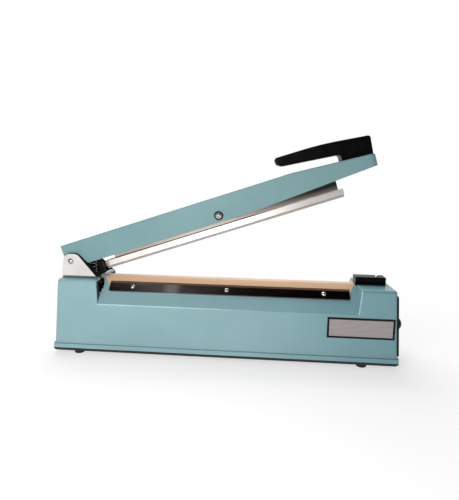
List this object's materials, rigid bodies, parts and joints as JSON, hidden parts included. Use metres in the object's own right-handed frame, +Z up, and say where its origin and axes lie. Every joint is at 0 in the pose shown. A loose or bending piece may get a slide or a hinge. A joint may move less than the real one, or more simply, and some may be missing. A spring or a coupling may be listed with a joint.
{
  "type": "impulse heat sealer",
  "caption": "Hand-operated bench heat sealer: a hinged press arm with a handle clamps film on a heated sealing bed along a cast base with a timer knob.",
  "frame": {"origin": "on the floor, under the middle of the whole object's box, arm open", "axes": "+X along the base towards the timer end, +Y to the back, +Z up"},
  "size_m": [0.4558, 0.0932, 0.2852],
  "materials": {
    "blue_paint_casting": "satin",
    "blue_paint_arm": "satin",
    "blue_paint_plate": "satin",
    "chrome_plate": "polished",
    "bright_steel": "satin",
    "screw_steel": "satin",
    "spring_steel": "satin",
    "dark_strip": "polished",
    "bar_aluminium": "satin",
    "brass": "satin",
    "copper_winding": "matte",
    "core_steel": "matte",
    "element_alloy": "satin",
    "silicone": "matte",
    "black_rubber": "matte",
    "ptfe_cloth": "satin",
    "bed_laminate": "matte",
    "tape": "matte",
    "black_plastic": "satin",
    "dark_plastic": "matte",
    "lamp_plastic": "gloss",
    "board_laminate": "matte",
    "insulator": "matte",
    "plate_print": "satin",
    "panel_print": "satin"
  },
  "bodies": {
    "base": {"base_housing": "blue_paint_casting", "bottom_plate": "blue_paint_plate", "rubber_feet": "black_rubber", "foot_screws": "screw_steel", "hinge_bracket": "chrome_plate", "hinge_liners": "dark_plastic", "hinge_pin": "bright_steel", "hinge_screws": "screw_steel", "bracket_screws": "screw_steel", "bracket_nuts": "screw_steel", "seal_bed": "bed_laminate", "bed_tape": "tape", "heating_element": "element_alloy", "ptfe_cloth": "ptfe_cloth", "front_clamp_strip": "dark_strip", "rear_clamp_strip": "dark_strip", "clamp_screws": "screw_steel", "terminal_insulators": "insulator", "element_terminals": "brass", "terminal_cover": "black_plastic", "terminal_cover_screw": "screw_steel", "transformer_core": "core_steel", "transformer_winding": "copper_winding", "transformer_strap": "bright_steel", "plate_screws": "screw_steel", "timer_board": "board_laminate", "board_components": "dark_plastic", "board_standoffs": "brass", "potentiometer": "bright_steel", "end_panel": "panel_print", "panel_screws": "screw_steel", "indicator_lamps": "lamp_plastic", "micro_switch": "black_plastic", "switch_bracket": "bright_steel", "switch_screws": "screw_steel", "cable_gland": "black_rubber", "fuse_holder": "black_plastic", "name_plate": "plate_print", "return_spring": "spring_steel"},
    "arm": {"press_arm": "blue_paint_arm", "arm_bushes": "brass", "handle": "black_plastic", "handle_screws": "screw_steel", "arm_striker": "bright_steel", "spring_cap": "bright_steel", "bar_pivot_screw": "screw_steel", "pivot_washers": "dark_plastic", "bar_pivot_nut": "screw_steel"},
    "bar": {"pressure_bar": "bar_aluminium", "silicone_strip": "silicone"},
    "timer": {"timer_knob": "black_plastic", "timer_shaft": "bright_steel"},
    "button": {"switch_plunger": "dark_plastic"}
  },
  "joints": [
    {"name": "arm_hinge", "type": "hinge", "parent": "base", "child": "arm", "pos_m": [-0.20594, -0.00406, 0.1212], "axis": [0, 1, 0], "range_deg": [0, 17.24], "stiffness_Nm_per_rad": 2.5, "springref_deg": -34.38, "deforming": ["return_spring"]},
    {"name": "bar_rock", "type": "hinge", "parent": "arm", "child": "bar", "pos_m": [-0.01324, -0.00406, 0.18504], "axis": [0, 1, 0], "range_deg": [0, 1.26]},
    {"name": "timer_turn", "type": "hinge", "parent": "base", "child": "timer", "pos_m": [0.21215, -0.00406, 0.0465], "axis": [0.9981, 0, 0.061], "range_deg": [-135, 135]},
    {"name": "switch_press", "type": "slide", "parent": "base", "child": "button", "axis": [0, 0, -1], "range_m": [0, 0.0012], "stiffness_N_per_m": 400, "springref_m": -0.002}
  ],
  "couplings": [
    {"joint": "bar_rock", "follows": "arm_hinge", "ratio": 0.072843}
  ]
}
